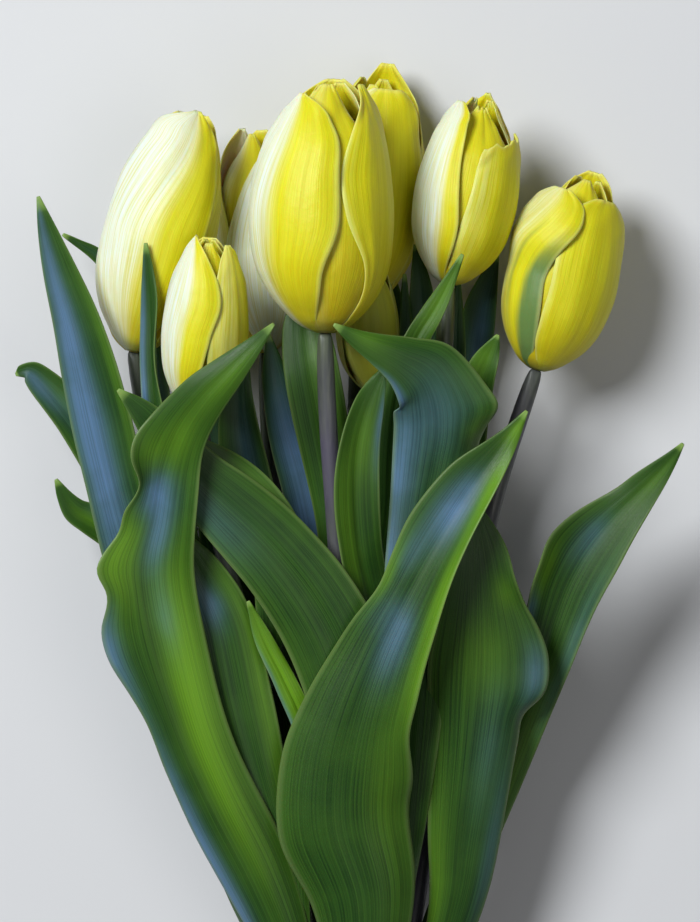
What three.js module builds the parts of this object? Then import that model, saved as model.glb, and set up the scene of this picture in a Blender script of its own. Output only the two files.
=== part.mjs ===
// A bunch of eight cut tulips with closed yellow heads, lying on a table. Millimetres.
// +Y runs from the cut stem ends to the flower heads, +X is to the right when the bunch is seen from
// above, and +Z is up from the table. The layout below has its y = 0 where the lowest leaves have
// fanned out, and the last lines move the whole bunch so that its origin is at the bottom centre.
import * as THREE from "three";

// ---- Driving dimensions ----
const STEM_RADIUS = 2.8;
const STEM_SIDES = 8;
const STEM_STEPS = 12; // tube steps along a stem
const STEM_GAP = 0.9; // between neighbouring stems under the band
const STEM_BELOW_BAND = 34; // from the band to the cut ends
const CUT_STAGGER = 2.5; // how much one cut end stands past the next
const NECK_LENGTH = 8; // the straight top of a stem, in line with its head
const TOUCH_GAP = 0.4; // clear space where one piece sits on another

const BAND_Y = -95; // height of the rubber band
const BAND_WIDTH = 5;
const BAND_THICKNESS = 1.2;
const BAND_SEGMENTS = 28;

const TEPAL_THICKNESS = 1.0;
const TEPALS_PART = 0.5; // how far up a head its tepals part, as a share of its length
const WHORL_SEGMENTS = 12; // round a whorl, four to a tepal
const CUP_ROWS = 3; // up its wall, below where the tepals part
const CUP_ROW_SPREAD = 1.4; // above 1, the rows stand closer together towards the base
const LOBE_ROWS = 2; // above where the tepals part
const LEAST_LOBE = 1; // how far the notch between two tepals stands above the cup
const TEPAL_BLUNTNESS = 2.4; // 1 gives a straight-sided point, and more gives a rounder tip
const WHORL_GAP = 0.8; // between the outer and the inner tepals
const INNER_SLIMNESS = 0.9; // an inner whorl's width over that of the whorl round it
const INNER_SHORTER = 3; // the inner tepals end this far below the outer ones

const PISTIL_SLIMNESS = 0.14; // its radius over that of the head
const PISTIL_SHARE = 0.3; // its height over the head's length
const PISTIL_SIDES = 6;

const LEAF_THICKNESS = 1.1;
const LEAF_ROWS = 15; // cross-sections along a leaf
const LEAF_TIP_HALF_WIDTH = 0.5;
const LEAF_THIN_SHARE = 0.4; // a leaf's least thickness over its full one
const LEAF_THINNING = 5; // in mm, and less of it makes a leaf thin sooner towards its tip
const BASE_WRAP = THREE.MathUtils.degToRad(78); // how far each way a leaf base clasps its stem
const CLASP_REACH = STEM_RADIUS + LEAF_THICKNESS / 2 + TOUCH_GAP; // from a stem's middle to its leaf
const DRAWN_REACH = 3.75; // the reach that the leaves below are laid out for

// ---- Colours ----
const TEPAL_YELLOW = { color: 0xe9d320, roughness: 0.5, metalness: 0 };
const PISTIL_GREEN = { color: 0xb9c46a, roughness: 0.6, metalness: 0 };
const STEM_GREEN = { color: 0x6f7a4e, roughness: 0.5, metalness: 0 };
const LEAF_GREEN = { color: 0x4d7a45, roughness: 0.45, metalness: 0 };
const BAND_TAN = { color: 0xb8935a, roughness: 0.7, metalness: 0 };

const bunch = new THREE.Group();
const UP = new THREE.Vector3(0, 0, 1);

function add(group, name, geometry, finish) {
  const mesh = new THREE.Mesh(geometry, new THREE.MeshStandardMaterial(finish));
  mesh.name = name;
  group.add(mesh);
  return mesh;
}

// A closed surface from rings of points, each ring with as many points as the next. The rings run
// anticlockwise when seen from the end that they advance towards. The squares between two rings are
// split along one diagonal up to place "backFrom" in the ring and along the other one after it, so
// that the front and the back of a thin twisted sheet stay side by side.
function skin(rings, startCap, endCap, backFrom = Infinity) {
  const across = rings[0].length;
  const positions = rings.flat().flatMap((point) => point.toArray());
  const faces = [];
  for (let row = 0; row + 1 < rings.length; row++)
    for (let i = 0; i < across; i++) {
      const a = row * across + i;
      const b = row * across + ((i + 1) % across);
      if (i < backFrom) faces.push(a, b, b + across, a, b + across, a + across);
      else faces.push(a, b, a + across, b, b + across, a + across);
    }
  const last = (rings.length - 1) * across;
  startCap.forEach(([a, b, c]) => faces.push(a, c, b));
  endCap.forEach(([a, b, c]) => faces.push(last + a, last + b, last + c));
  const geometry = new THREE.BufferGeometry();
  geometry.setAttribute("position", new THREE.Float32BufferAttribute(positions, 3));
  geometry.setIndex(faces);
  return geometry;
}

// ---- Stems ----
// Under the band one stem is in the middle and the others stand round it. Each stem is given by the
// points that it passes on its way up, its head's base and its head's tip.
const RING_COUNT = 7;
const STEM_PITCH = 2 * STEM_RADIUS + STEM_GAP;
const RING_RADIUS = STEM_PITCH / (2 * Math.sin(Math.PI / RING_COUNT));
const BAND_INNER = RING_RADIUS + STEM_RADIUS + 2 * TOUCH_GAP;
const BUNDLE_Z = BAND_INNER + BAND_THICKNESS; // height of the bundle's middle above the table

const TULIPS = {
  tulip_1: {
    place: 2,
    stem: [[-19, 0, 19], [-27, 40, 22], [-38, 80, 25], [-50, 120, 29]],
    base: [-61, 161, 34],
    tip: [-45, 228, 36],
    radius: 15.6,
    turn: -20,
  },
  tulip_2: {
    place: 3,
    stem: [[-10, 0, 7.5], [-14, 40, 7], [-18, 80, 8], [-22, 120, 10]],
    base: [-24, 161, 13.5],
    tip: [-27, 224, 14],
    radius: 13.5,
    turn: 20,
  },
  tulip_3: {
    place: 1,
    stem: [[-13, 0, 29], [-24, 60, 35.5], [-32, 90, 39], [-38.5, 115, 43.5]],
    base: [-42, 143, 50],
    tip: [-39, 192, 58],
    radius: 11.8,
    turn: 60,
  },
  tulip_4: {
    place: 0,
    stem: [[0, 0, 33], [-1.5, 50, 39], [-3.5, 105, 47], [-6, 135, 51]],
    base: [-7, 166, 55],
    tip: [-5, 236, 57],
    radius: 19.8,
    turn: 60,
  },
  tulip_5: {
    place: 4,
    stem: [[9, 0, 7.5], [7, 40, 6.5], [4, 80, 7], [2, 120, 9]],
    base: [3, 174, 15],
    tip: [10, 241, 17],
    radius: 15,
    turn: 0,
  },
  tulip_6: {
    place: 6,
    stem: [[13, 0, 29], [18, 40, 32], [22, 80, 33], [25.5, 130, 32.5]],
    base: [28, 180, 32],
    tip: [38, 233, 34],
    radius: 14.2,
    turn: 60,
  },
  tulip_7: {
    place: 5,
    stem: [[18, 0, 17], [26, 40, 19], [34, 80, 21], [40, 118, 23.5]],
    base: [53, 156, 27],
    tip: [68, 211, 29],
    radius: 15.4,
    turn: 40,
  },
  tulip_8: {
    stem: [[0, 0, 19], [2, 40, 21.5], [4, 80, 24], [5.5, 120, 27]],
    base: [6, 150, 30],
    tip: [4, 188, 33],
    radius: 8.6,
    turn: 0,
  },
};

const stemCurves = {};

Object.entries(TULIPS).forEach(([name, tulip], index) => {
  const angle = Math.PI / 2 + (tulip.place ?? 0) * ((2 * Math.PI) / RING_COUNT);
  const out = tulip.place === undefined ? 0 : RING_RADIUS;
  const x = out * Math.cos(angle);
  const z = BUNDLE_Z + out * Math.sin(angle);
  const cutY = BAND_Y - STEM_BELOW_BAND - (index % 3) * CUT_STAGGER;
  const base = new THREE.Vector3(...tulip.base);
  const axis = new THREE.Vector3(...tulip.tip).sub(base).normalize();
  const points = [
    new THREE.Vector3(x, cutY, z),
    new THREE.Vector3(x, BAND_Y - BAND_WIDTH, z),
    new THREE.Vector3(x, BAND_Y + BAND_WIDTH, z),
    ...tulip.stem.map((point) => new THREE.Vector3(...point)),
    base.clone().addScaledVector(axis, -NECK_LENGTH),
    base.clone().addScaledVector(axis, -TOUCH_GAP),
  ];
  stemCurves[name] = new THREE.CatmullRomCurve3(points, false, "centripetal");
});

function stemSection() {
  const section = new THREE.Shape();
  for (let i = 0; i < STEM_SIDES; i++) {
    const angle = (i / STEM_SIDES) * 2 * Math.PI;
    const x = STEM_RADIUS * Math.cos(angle);
    const y = STEM_RADIUS * Math.sin(angle);
    if (i === 0) section.moveTo(x, y);
    else section.lineTo(x, y);
  }
  section.closePath();
  return section;
}

for (const [name, curve] of Object.entries(stemCurves)) {
  const tube = new THREE.ExtrudeGeometry(stemSection(), {
    steps: STEM_STEPS,
    curveSegments: 1,
    extrudePath: curve,
  });
  add(bunch, `${name}_stem`, tube, STEM_GREEN);
}

// The point on a stem's middle line at height y, by halving. Stems only ever rise along +Y.
const HALVINGS = 40;

function stemAt(name, y) {
  let low = 0;
  let high = 1;
  for (let i = 0; i < HALVINGS; i++) {
    const middle = (low + high) / 2;
    if (stemCurves[name].getPoint(middle).y < y) low = middle;
    else high = middle;
  }
  return stemCurves[name].getPoint(low);
}

// ---- Rubber band ----
const bandProfile = [
  [BAND_INNER, -BAND_WIDTH / 2],
  [BAND_INNER + BAND_THICKNESS, -BAND_WIDTH / 2],
  [BAND_INNER + BAND_THICKNESS, BAND_WIDTH / 2],
  [BAND_INNER, BAND_WIDTH / 2],
  [BAND_INNER, -BAND_WIDTH / 2],
].map(([radius, y]) => new THREE.Vector2(radius, y));
const band = add(
  bunch,
  "rubber_band",
  new THREE.LatheGeometry(bandProfile, BAND_SEGMENTS),
  BAND_TAN,
);
band.position.set(0, BAND_Y, BUNDLE_Z);

// ---- Flower heads ----
// The radius of a closed head, as shares of its widest radius, from its base to its tip.
const HEAD_PROFILE = new THREE.SplineCurve(
  [
    [0, 0.2],
    [0.06, 0.52],
    [0.18, 0.85],
    [0.38, 1],
    [0.6, 0.96],
    [0.8, 0.79],
    [1, 0.42],
  ].map(([along, share]) => new THREE.Vector2(along, share)),
);

function profileShare(along) {
  const knots = HEAD_PROFILE.points;
  let i = 0;
  while (i < knots.length - 2 && knots[i + 1].x < along) i++;
  const inside = (along - knots[i].x) / (knots[i + 1].x - knots[i].x);
  return HEAD_PROFILE.getPoint((i + inside) / (knots.length - 1)).y;
}

// Three tepals that are joined at their base, as a lobed cup with a floor. The cup's axis is +Y.
function whorl({ length, top, radius, floor, turn }) {
  const parting = length * TEPALS_PART;
  const columns = Array.from({ length: WHORL_SEGMENTS }, (_, i) => (i / WHORL_SEGMENTS) * 2 * Math.PI);
  const lobeHeight = (angle) => {
    const third = (2 * Math.PI) / 3;
    const turned = angle % third;
    const fromMiddle = Math.min(turned, third - turned) / (third / 2);
    const rise = 1 - fromMiddle ** TEPAL_BLUNTNESS;
    return LEAST_LOBE + (top - parting - LEAST_LOBE) * rise;
  };
  const ring = (heightAt, wall) =>
    columns.map((angle) => {
      const height = heightAt(angle);
      const r = radius * profileShare((height - floor) / (length - floor)) - wall;
      return new THREE.Vector3(r * Math.sin(angle + turn), height, r * Math.cos(angle + turn));
    });
  const wallRings = (wall) => {
    const foot = floor + wall;
    const cup = Array.from({ length: CUP_ROWS + 1 }, (_, row) =>
      ring(() => foot + (parting - foot) * (row / CUP_ROWS) ** CUP_ROW_SPREAD, wall),
    );
    const lobes = Array.from({ length: LOBE_ROWS }, (_, row) =>
      ring((angle) => parting + (lobeHeight(angle) * (row + 1)) / LOBE_ROWS, wall),
    );
    return [...cup, ...lobes];
  };
  const rings = [...wallRings(0), ...wallRings(TEPAL_THICKNESS).reverse()];
  const fan = Array.from({ length: WHORL_SEGMENTS - 2 }, (_, i) => [0, i + 1, i + 2]);
  return skin(rings, fan, fan);
}

// A three-sided ovary that ends in a wider stigma.
function pistil({ length, radius }) {
  const height = length * PISTIL_SHARE;
  const width = radius * PISTIL_SLIMNESS;
  const outline = [
    [0, 0],
    [width * 0.4, 0],
    [width, height * 0.4],
    [width * 0.8, height * 0.8],
    [width * 1.25, height * 0.92],
    [width * 0.6, height],
    [0, height],
  ].map(([r, y]) => new THREE.Vector2(r, y));
  return new THREE.LatheGeometry(outline, PISTIL_SIDES);
}

for (const [name, tulip] of Object.entries(TULIPS)) {
  const base = new THREE.Vector3(...tulip.base);
  const along = new THREE.Vector3(...tulip.tip).sub(base);
  const length = along.length();
  const axis = along.normalize();
  const front = UP.clone().addScaledVector(axis, -UP.dot(axis)).normalize();
  const side = new THREE.Vector3().crossVectors(axis, front);
  const head = new THREE.Group();
  head.position.copy(base);
  head.quaternion.setFromRotationMatrix(new THREE.Matrix4().makeBasis(side, axis, front));
  const turn = THREE.MathUtils.degToRad(tulip.turn);
  const innerFloor = TEPAL_THICKNESS + TOUCH_GAP;
  const outer = { length, top: length, radius: tulip.radius, floor: 0, turn };
  const inner = {
    length,
    top: length - INNER_SHORTER,
    radius: tulip.radius * INNER_SLIMNESS - TEPAL_THICKNESS - WHORL_GAP,
    floor: innerFloor,
    turn: turn + Math.PI / 3,
  };
  add(head, `${name}_outer_tepals`, whorl(outer), TEPAL_YELLOW);
  add(head, `${name}_inner_tepals`, whorl(inner), TEPAL_YELLOW);
  const seed = add(head, `${name}_pistil`, pistil(outer), PISTIL_GREEN);
  seed.position.y = innerFloor + TEPAL_THICKNESS + 2 * TOUCH_GAP;
  bunch.add(head);
}

// ---- Leaves ----
// Each leaf clasps its stem at height "at", on the side given in degrees: 0 is right, 90 towards the
// viewer above, 180 left and 270 down. Each row after that is a place on its midrib:
// x, y, z, half width, roll, cup. Roll turns the blade's face to the right, and cup is how far each
// half of the blade bends up towards that face, both in degrees.
const LEAVES = {
  leaf_front_left: {
    stem: "tulip_3", at: -48, side: 110,
    rows: [
      [-15, -22, 31, 6.5, -15, -55],
      [-21.5, 0, 36, 8.5, -12, -40],
      [-32, 22, 41, 9.5, -10, -30],
      [-43, 45, 46, 11, -8, -22],
      [-51.5, 72, 51, 13, 0, -18],
      [-56.5, 97, 55, 13.8, 5, 5],
      [-53, 116, 59, 11.5, 0, 22],
      [-50, 131, 65, 10.5, 0, 10],
      [-44, 142.5, 71, 8, 5, -15],
      [-36, 151.5, 74.5, 5.6, 0, -20],
      [-28, 159.5, 76, 3, 0, -10],
      [-21, 167, 75],
    ],
  },
  leaf_front_centre: {
    stem: "tulip_4", at: -62, side: 90,
    rows: [
      [2, -30, 36, 9, 0, -50],
      [5, 2, 43.5, 14.5, 0, -36],
      [-1.5, 30, 49.5, 19, 0, -26],
      [1, 52, 54, 17.5, -4, -22],
      [8, 74, 58, 13.8, -8, -18],
      [16.5, 92, 61.5, 11.6, -10, 10],
      [25.5, 108, 64, 9.4, -10, 20],
      [36, 125, 66, 6.4, -5, 20],
      [43.5, 135.5, 67.5, 3, 0, 10],
      [49, 143, 69],
    ],
  },
  leaf_curled_over: {
    stem: "tulip_6", at: 2, side: 80,
    rows: [
      [15, 28, 38, 6.5, 0, -40],
      [17, 58, 44, 8, 0, -22],
      [18, 88, 47, 9, 0, -10],
      [20.5, 110, 48.5, 10, 0, -12],
      [24, 128, 51.5, 12, 0, -18],
      [25.5, 141, 56, 13, 0, -25],
      [22, 152, 61, 11.5, 0, -25],
      [13, 158, 64, 6.8, 0, -15],
      [4, 162, 66, 3.4, 0, -10],
      [-4.5, 167, 67.5],
    ],
  },
  leaf_broad_right: {
    stem: "tulip_7", at: -42, side: 60,
    rows: [
      [22, -18, 27, 5.5, 10, -50],
      [29.5, 2, 33, 7.8, 8, -40],
      [33, 25, 38.5, 11.5, 4, -30],
      [36.5, 50, 44.5, 14.8, 4, -24],
      [38.5, 70, 49, 17, 6, -22],
      [38, 88, 53, 13.5, 8, -10],
      [36.5, 104, 56, 8, 8, 5],
      [34, 119, 57.5],
    ],
  },
  leaf_far_right: {
    stem: "tulip_7", at: -12, side: 0,
    rows: [
      [30, 8, 22, 6, 25, -40],
      [39, 32, 28, 7.5, 15, -20],
      [47, 56, 33, 8.3, 5, 5],
      [55.5, 77, 37, 8.8, 0, 30],
      [60.8, 93, 40, 10.6, -5, 35],
      [69.4, 107.5, 43, 10, -10, 25],
      [80, 119, 46, 6, -10, 15],
      [87.5, 127, 49, 3, -5, 10],
      [93, 134, 52],
    ],
  },
  leaf_tall_left: {
    stem: "tulip_1", at: -32, side: 170,
    rows: [
      [-26, -4, 21, 6.5, -30, -45],
      [-36, 28, 26, 9, -25, -25],
      [-46, 60, 31, 10.5, -20, -10],
      [-56.5, 92, 35, 10.5, -20, 15],
      [-64.5, 120, 39, 9.2, -18, 25],
      [-70, 144, 44, 9.2, -15, 20],
      [-76, 167, 48.5, 7, -10, 20],
      [-82.5, 187, 51, 4.2, -5, 25],
      [-87, 203, 53],
    ],
  },
  leaf_hooked_left: {
    stem: "tulip_1", at: 42, side: 185,
    rows: [
      [-41, 62, 23, 4.2, -55, -40],
      [-49, 85, 28, 6, -20, 0],
      [-59, 106, 30.5, 6.3, -10, 20],
      [-68, 125, 32.5, 5.8, 0, 30],
      [-76.5, 139, 34, 5.5, 0, 35],
      [-84.5, 149, 36, 5, 0, 30],
      [-90.5, 154.5, 37, 3, 0, 20],
      [-94, 153.5, 36],
    ],
  },
  leaf_low_left: {
    stem: "tulip_1", at: 8, side: 235,
    rows: [
      [-31, 33, 13, 5, 0, 5],
      [-40, 62, 16.5, 6, -10, 0],
      [-50, 88, 20, 6, 0, 15],
      [-60, 104, 23.5, 5.5, 0, 20],
      [-70, 111, 26, 5, 0, 25],
      [-78, 115.5, 28, 3.6, 0, 20],
      [-83, 124, 30],
    ],
  },
  leaf_small_far_left: {
    stem: "tulip_1", at: 108, side: 260,
    rows: [
      [-52, 128, 18, 3.4, 0, 20],
      [-55, 150, 13, 3.6, 0, 10],
      [-60.5, 171, 11.5, 3.4, 0, 10],
      [-70, 186, 14, 2.3, 0, 15],
      [-81.5, 193.5, 18],
    ],
  },
  leaf_narrow_left: {
    stem: "tulip_3", at: 84, side: 185,
    rows: [
      [-44.5, 104, 40, 3.8, -50, -20],
      [-49.5, 124, 45, 4.2, -35, 20],
      [-54, 141, 49, 3.8, -35, 50],
      [-55.4, 156, 50, 3.4, -35, 60],
      [-55.6, 173, 51, 3, -35, 50],
      [-57, 190, 53],
    ],
  },
  leaf_crossing: {
    stem: "tulip_4", at: -20, side: 90,
    rows: [
      [3, 8, 39, 7, 0, -45],
      [4, 38, 45, 10.5, 0, -24],
      [1, 62, 49.6, 12.5, 0, -14],
      [-6.5, 83, 52.8, 13, 0, -8],
      [-18, 100, 55.5, 12, 0, -8],
      [-29, 112, 57, 11, 0, -6],
      [-42, 124, 58.5, 8.6, 0, -5],
      [-55, 140, 60, 4.8, 0, 15],
      [-64.5, 149, 61],
    ],
  },
  leaf_crossing_under: {
    stem: "tulip_3", at: 66, side: 0,
    rows: [
      [-20, 86, 43, 6.5, 0, -15],
      [-20.5, 103, 48, 9, 0, -8],
      [-27, 115, 51, 9.5, 0, -6],
      [-37, 126, 53.2, 7.5, 0, -5],
      [-50, 138, 56],
    ],
  },
  leaf_left_inner_broad: {
    stem: "tulip_3", at: -8, side: 150,
    rows: [
      [-19, 18, 37, 6.5, -8, -40],
      [-26, 42, 41, 8.5, -4, -22],
      [-31.5, 64, 43.5, 9.5, 0, -12],
      [-36, 84, 45.5, 9, 0, -5],
      [-43, 99, 47.5, 6.5, 0, 0],
      [-50, 112, 50],
    ],
  },
  leaf_bright_sliver: {
    stem: "tulip_4", at: 15, side: 186,
    rows: [
      [-9, 36, 39.8, 3.4, 0, -30],
      [-12.5, 54, 43, 3.4, 10, -10],
      [-18.5, 68, 46, 3.2, 10, 0],
      [-24, 79, 48, 2.6, 10, 0],
      [-28.5, 90, 49.5],
    ],
  },
  leaf_silvery: {
    stem: "tulip_2", at: 42, side: 60,
    rows: [
      [-10, 64, 16, 5.2, 10, -30],
      [-8, 86, 22, 6.8, 0, -15],
      [-10, 107, 27, 7, -10, -15],
      [-13.5, 124, 30.5, 7, -15, -25],
      [-18, 140, 33.5, 6, -10, -25],
      [-21, 153, 35.5, 3.8, 0, -15],
      [-23, 165, 37],
    ],
  },
  leaf_inner_left: {
    stem: "tulip_2", at: 22, side: 140,
    rows: [
      [-21, 46, 12.5, 5.5, -10, -30],
      [-23, 72, 17, 7, -5, -10],
      [-25, 96, 21.5, 7.2, 0, 0],
      [-28, 118, 26, 7.2, 0, 15],
      [-31, 136, 29.5, 6.2, 0, 20],
      [-31.5, 149, 32, 4, 0, 15],
      [-29, 161, 34],
    ],
  },
  leaf_behind_stem: {
    stem: "tulip_8", at: 48, side: 100,
    rows: [
      [0.5, 70, 30.5, 5.2, 0, -40],
      [-1.5, 92, 34, 5.8, -5, -20],
      [-3.5, 113, 36.5, 6.4, -5, -10],
      [-7, 134, 39, 7.4, -5, 0],
      [-10.5, 153, 40.5, 7.8, -5, 5],
      [-12.5, 168, 39, 6.2, 0, 5],
      [-12, 182, 36],
    ],
  },
  leaf_inner_curved: {
    stem: "tulip_8", at: 20, side: 45,
    rows: [
      [6.5, 42, 30, 5, 10, -30],
      [8.5, 66, 37, 6, 10, -10],
      [6.5, 86, 42.4, 6.2, 14, 5],
      [3, 103, 50, 6.6, 20, 18],
      [1.5, 120, 54, 7, 24, 25],
      [2.5, 135, 54.5, 6.2, 22, 25],
      [6, 147, 54, 4, 10, 15],
      [10, 155.5, 54],
    ],
  },
  leaf_spear: {
    stem: "tulip_8", at: 92, side: 60,
    rows: [
      [10.5, 112, 34.5, 4.2, 0, -20],
      [11.5, 132, 40, 4.4, 0, 0],
      [13.5, 149, 43, 4, 0, 10],
      [18, 162, 44.5, 3.6, 0, 10],
      [24.5, 173, 46, 2.9, 0, 15],
      [31.5, 187, 48.5],
    ],
  },
  leaf_small_centre: {
    stem: "tulip_8", at: 104, side: 330,
    rows: [
      [13.4, 122, 23, 3.4, 0, 10],
      [13.8, 142, 26.2, 2.8, 20, 10],
      [15.6, 162, 28, 2.4, 25, 15],
      [15.4, 182, 28.5],
    ],
  },
  leaf_beside_head: {
    stem: "tulip_6", at: 98, side: 260,
    rows: [
      [22, 118, 26, 4.2, 0, 15],
      [21.5, 140, 24.5, 4.6, 0, 10],
      [21, 160, 24, 4.4, 0, 15],
      [20.2, 177, 24.5, 3.4, 0, 20],
      [18.5, 190.5, 25],
    ],
  },
  leaf_short_right: {
    stem: "tulip_6", at: 78, side: 10,
    rows: [
      [30.5, 98, 37, 4.6, 5, -30],
      [32, 118, 37.5, 5, 0, -10],
      [33.5, 136, 40, 5, 0, 10],
      [35.5, 150, 42, 4.8, 0, 20],
      [38.5, 158, 43.5, 3.6, 0, 20],
      [41.5, 164.5, 45],
    ],
  },
  leaf_back_right: {
    stem: "tulip_7", at: 58, side: 260,
    rows: [
      [28.5, 80, 8, 5.8, 0, 15],
      [30, 105, 2.5, 6.2, 0, 5],
      [32.5, 130, 2.5, 6, 0, 5],
      [34.5, 152, 7, 5.4, 5, 15],
      [37, 172, 13, 4.8, 5, 20],
      [42, 189, 17],
    ],
  },
  leaf_narrow_right: {
    stem: "tulip_7", at: 92, side: 180,
    rows: [
      [28.8, 112, 22.6, 3, 0, -10],
      [29, 134, 23, 3.2, 0, 10],
      [30, 158, 23.3, 2.9, 0, 20],
      [30.8, 182, 22.5],
    ],
  },
  leaf_under_centre: {
    stem: "tulip_5", at: 66, side: 330,
    rows: [
      [10, 88, 3.5, 6, 0, 5],
      [11.5, 115, 2.5, 7.6, 0, 5],
      [11.5, 145, 2.5, 7.6, 0, 5],
      [11.5, 168, 3, 5.6, 0, 10],
      [12, 184, 4],
    ],
  },
  leaf_under_left: {
    stem: "tulip_2", at: -22, side: 230,
    rows: [
      [-20.5, 6, 3, 6, 0, 5],
      [-23, 34, 3, 9, 0, 5],
      [-28.5, 70, 2.6, 9.8, 0, 6],
      [-34, 106, 2.6, 9, 0, 6],
      [-40, 138, 3.5, 5.5, 0, 10],
      [-46, 160, 5],
    ],
  },
};

const SECTION = [-1, -0.5, 0, 0.5, 1]; // places across a blade, from its left edge to its right

// The blade's row of values where it clasps its stem, wrapped round it with a clear gap.
function baseRow({ stem, at, side }) {
  const sideAngle = THREE.MathUtils.degToRad(side);
  const place = stemAt(stem, at);
  place.x += CLASP_REACH * Math.cos(sideAngle);
  place.z += CLASP_REACH * Math.sin(sideAngle);
  const below = side > 225; // a leaf under its stem faces up at it
  const roll = below ? 270 - side : 90 - side;
  const wrap = THREE.MathUtils.radToDeg(BASE_WRAP);
  return [...place.toArray(), CLASP_REACH * BASE_WRAP, roll, below ? wrap : -wrap];
}

// A leaf's rows, moved out from its stem where the stem or the leaves are thicker than laid out, and
// less the further up they are.
function clearOfStem({ side, rows }) {
  const sideAngle = THREE.MathUtils.degToRad(side);
  return rows.map(([x, y, z, ...bend], index) => {
    const move = (CLASP_REACH - DRAWN_REACH) / (index + 1);
    return [x + move * Math.cos(sideAngle), y, z + move * Math.sin(sideAngle), ...bend];
  });
}

function leafGeometry(leaf) {
  const blade = clearOfStem(leaf);
  const tip = [...blade.pop(), LEAF_TIP_HALF_WIDTH, 0, 0];
  const rows = [baseRow(leaf), ...blade, tip];
  const midrib = new THREE.CatmullRomCurve3(
    rows.map(([x, y, z]) => new THREE.Vector3(x, y, z)),
    false,
    "centripetal",
  );
  const bends = new THREE.CatmullRomCurve3(
    rows.map(([, , , width, roll, cup]) => new THREE.Vector3(width, roll, cup)),
    false,
    "catmullrom",
    0.5,
  );
  const rings = Array.from({ length: LEAF_ROWS }, (_, row) => {
    const t = row / (LEAF_ROWS - 1);
    const centre = midrib.getPoint(t);
    const tangent = midrib.getTangent(t);
    const bend = bends.getPoint(t);
    const halfWidth = Math.max(bend.x, LEAF_TIP_HALF_WIDTH);
    const cup = THREE.MathUtils.degToRad(Math.abs(bend.z) < 1 ? 1 : bend.z);
    const face = UP.clone().addScaledVector(tangent, -UP.dot(tangent)).normalize();
    face.applyAxisAngle(tangent, THREE.MathUtils.degToRad(bend.y));
    const across = new THREE.Vector3().crossVectors(tangent, face);
    const thickness = LEAF_THICKNESS * Math.min(1, LEAF_THIN_SHARE + halfWidth / LEAF_THINNING);
    const place = (share, side) => {
      const angle = share * cup;
      const bow = halfWidth / cup;
      const lift = (side * thickness * Math.sqrt(1 - share * share)) / 2;
      return centre
        .clone()
        .addScaledVector(across, (bow - lift) * Math.sin(angle))
        .addScaledVector(face, bow - (bow - lift) * Math.cos(angle));
    };
    const upper = SECTION.map((share) => place(share, 1));
    const lower = SECTION.slice(1, -1).map((share) => place(share, -1));
    return [...upper, ...lower.reverse()];
  });
  // A ring holds the upper points from the left edge to the right one, then the lower ones back.
  const cap = [
    [0, 1, 7],
    [1, 2, 6],
    [1, 6, 7],
    [2, 3, 5],
    [2, 5, 6],
    [3, 4, 5],
  ];
  return skin(rings, cap, cap, SECTION.length - 1);
}

for (const [name, leaf] of Object.entries(LEAVES)) add(bunch, name, leafGeometry(leaf), LEAF_GREEN);

// ---- Origin ----
// Bottom centre of the whole bunch's box, so that it rests on the plane z = 0.
const box = new THREE.Box3().setFromObject(bunch, true);
const centre = box.getCenter(new THREE.Vector3());
bunch.position.set(-centre.x, -centre.y, -box.min.z);

const part = new THREE.Group();
part.add(bunch);

export default part;
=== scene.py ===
import math
import random

import bmesh
import bpy
import numpy as np
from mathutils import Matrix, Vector


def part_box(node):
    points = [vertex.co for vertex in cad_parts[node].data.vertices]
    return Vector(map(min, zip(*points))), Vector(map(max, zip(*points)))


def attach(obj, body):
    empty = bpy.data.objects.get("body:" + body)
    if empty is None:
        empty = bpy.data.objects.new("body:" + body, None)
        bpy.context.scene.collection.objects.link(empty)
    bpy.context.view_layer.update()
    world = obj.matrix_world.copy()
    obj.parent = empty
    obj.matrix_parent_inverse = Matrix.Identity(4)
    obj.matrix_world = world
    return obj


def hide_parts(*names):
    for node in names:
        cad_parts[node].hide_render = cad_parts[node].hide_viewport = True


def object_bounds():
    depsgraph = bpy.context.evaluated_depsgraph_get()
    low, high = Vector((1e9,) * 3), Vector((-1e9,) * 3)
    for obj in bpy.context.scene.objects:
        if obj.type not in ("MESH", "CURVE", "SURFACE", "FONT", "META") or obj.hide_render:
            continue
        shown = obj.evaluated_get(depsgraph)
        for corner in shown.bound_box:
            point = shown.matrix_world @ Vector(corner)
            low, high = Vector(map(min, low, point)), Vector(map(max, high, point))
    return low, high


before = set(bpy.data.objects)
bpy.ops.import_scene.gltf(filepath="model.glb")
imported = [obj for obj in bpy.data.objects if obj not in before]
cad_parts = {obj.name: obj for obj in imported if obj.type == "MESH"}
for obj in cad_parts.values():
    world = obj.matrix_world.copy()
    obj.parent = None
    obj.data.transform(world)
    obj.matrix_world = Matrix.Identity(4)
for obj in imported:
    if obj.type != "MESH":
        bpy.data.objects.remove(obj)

cad_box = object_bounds()
bpy.ops.object.select_all(action="DESELECT")

# ---- Stems ----
# Eight round, fleshy stems, 5.6 mm thick, grey-green with a purple flush. They are cut straight
# across with a knife, so the cut ends show their pale, wet pith.
RIM_WIDTH = 0.0003  # of the skin round a cut end
PITH_INSET = 0.0011
PITH_DEPTH = 0.0004


def node(tree, kind, inputs=None, **settings):
    """Adds a shader node. Each input takes a value, or the socket that feeds it."""
    made = tree.nodes.new(kind)
    for name, value in settings.items():
        setattr(made, name, value)
    for name, value in (inputs or {}).items():
        if isinstance(value, bpy.types.NodeSocket):
            tree.links.new(value, made.inputs[name])
        else:
            made.inputs[name].default_value = value
    return made


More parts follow.
